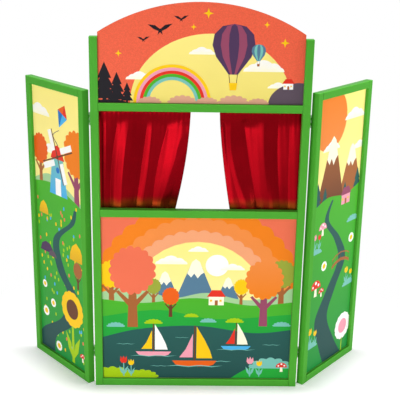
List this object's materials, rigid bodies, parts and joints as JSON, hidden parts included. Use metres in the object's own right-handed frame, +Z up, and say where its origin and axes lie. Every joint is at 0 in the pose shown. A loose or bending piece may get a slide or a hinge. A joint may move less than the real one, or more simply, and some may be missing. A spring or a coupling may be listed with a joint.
{
  "type": "puppet theater stand",
  "caption": "Folding three-panel puppet theater: a stage frame with an arched top board, printed lower board, hinged side wings and sliding curtains over the stage opening.",
  "frame": {"origin": "on the floor, in the middle of the whole part's box with the wings folded back 50 degrees", "axes": "+Z up, +X to the right as the audience sees it, +Y back from the audience"},
  "size_m": [1.0276, 0.2532, 1.129],
  "materials": {
    "painted_batten": "satin paint over softened arrises",
    "arch_print": "satin printed board",
    "lower_print": "satin printed board",
    "wing_print": "satin printed board",
    "hinge": "painted over with the frame",
    "hinge_screw": "painted over with the frame",
    "rod": "bare dowel",
    "screw_eye": "zinc plated",
    "curtain_cloth": "satin weave"
  },
  "bodies": {
    "stage": {"arch_board": "arch_print", "bottom_rail": "painted_batten", "curtain_rod": "rod", "header_rail": "painted_batten", "hinge_left_lower_pin": "hinge", "hinge_left_lower_stage_leaf": "hinge", "hinge_left_lower_stage_screw_bottom": "hinge_screw", "hinge_left_lower_stage_screw_top": "hinge_screw", "hinge_left_upper_pin": "hinge", "hinge_left_upper_stage_leaf": "hinge", "hinge_left_upper_stage_screw_bottom": "hinge_screw", "hinge_left_upper_stage_screw_top": "hinge_screw", "hinge_right_lower_pin": "hinge", "hinge_right_lower_stage_leaf": "hinge", "hinge_right_lower_stage_screw_bottom": "hinge_screw", "hinge_right_lower_stage_screw_top": "hinge_screw", "hinge_right_upper_pin": "hinge", "hinge_right_upper_stage_leaf": "hinge", "hinge_right_upper_stage_screw_bottom": "hinge_screw", "hinge_right_upper_stage_screw_top": "hinge_screw", "lower_board": "lower_print", "screw_eye_left": "screw_eye", "screw_eye_right": "screw_eye", "stage_sill": "painted_batten", "stage_stile_left": "painted_batten", "stage_stile_right": "painted_batten"},
    "left_wing": {"hinge_left_lower_wing_leaf": "hinge", "hinge_left_lower_wing_screw_bottom": "hinge_screw", "hinge_left_lower_wing_screw_top": "hinge_screw", "hinge_left_upper_wing_leaf": "hinge", "hinge_left_upper_wing_screw_bottom": "hinge_screw", "hinge_left_upper_wing_screw_top": "hinge_screw", "wing_left_board": "wing_print", "wing_left_bottom_rail": "painted_batten", "wing_left_inner_stile": "painted_batten", "wing_left_outer_stile": "painted_batten", "wing_left_top_rail": "painted_batten"},
    "right_wing": {"hinge_right_lower_wing_leaf": "hinge", "hinge_right_lower_wing_screw_bottom": "hinge_screw", "hinge_right_lower_wing_screw_top": "hinge_screw", "hinge_right_upper_wing_leaf": "hinge", "hinge_right_upper_wing_screw_bottom": "hinge_screw", "hinge_right_upper_wing_screw_top": "hinge_screw", "wing_right_board": "wing_print", "wing_right_bottom_rail": "painted_batten", "wing_right_inner_stile": "painted_batten", "wing_right_outer_stile": "painted_batten", "wing_right_top_rail": "painted_batten"},
    "left_curtain": {"curtain_left": "curtain_cloth"},
    "right_curtain": {"curtain_right": "curtain_cloth"}
  },
  "joints": [
    {"name": "left_wing_fold", "type": "hinge", "parent": "stage", "child": "left_wing", "pos_m": [-0.301, -0.10035, 0.4555], "axis": [0, 0, -1], "range_deg": [-54, 125]},
    {"name": "right_wing_fold", "type": "hinge", "parent": "stage", "child": "right_wing", "pos_m": [0.301, -0.10035, 0.4555], "axis": [0, 0, 1], "range_deg": [-54, 125]},
    {"name": "left_curtain_slide", "type": "slide", "parent": "stage", "child": "left_curtain", "axis": [-1, 0, 0], "range_m": [-0.025, 0.15], "deforming": ["curtain_left"]},
    {"name": "right_curtain_slide", "type": "slide", "parent": "stage", "child": "right_curtain", "axis": [1, 0, 0], "range_m": [-0.05, 0.135], "deforming": ["curtain_right"]}
  ]
}
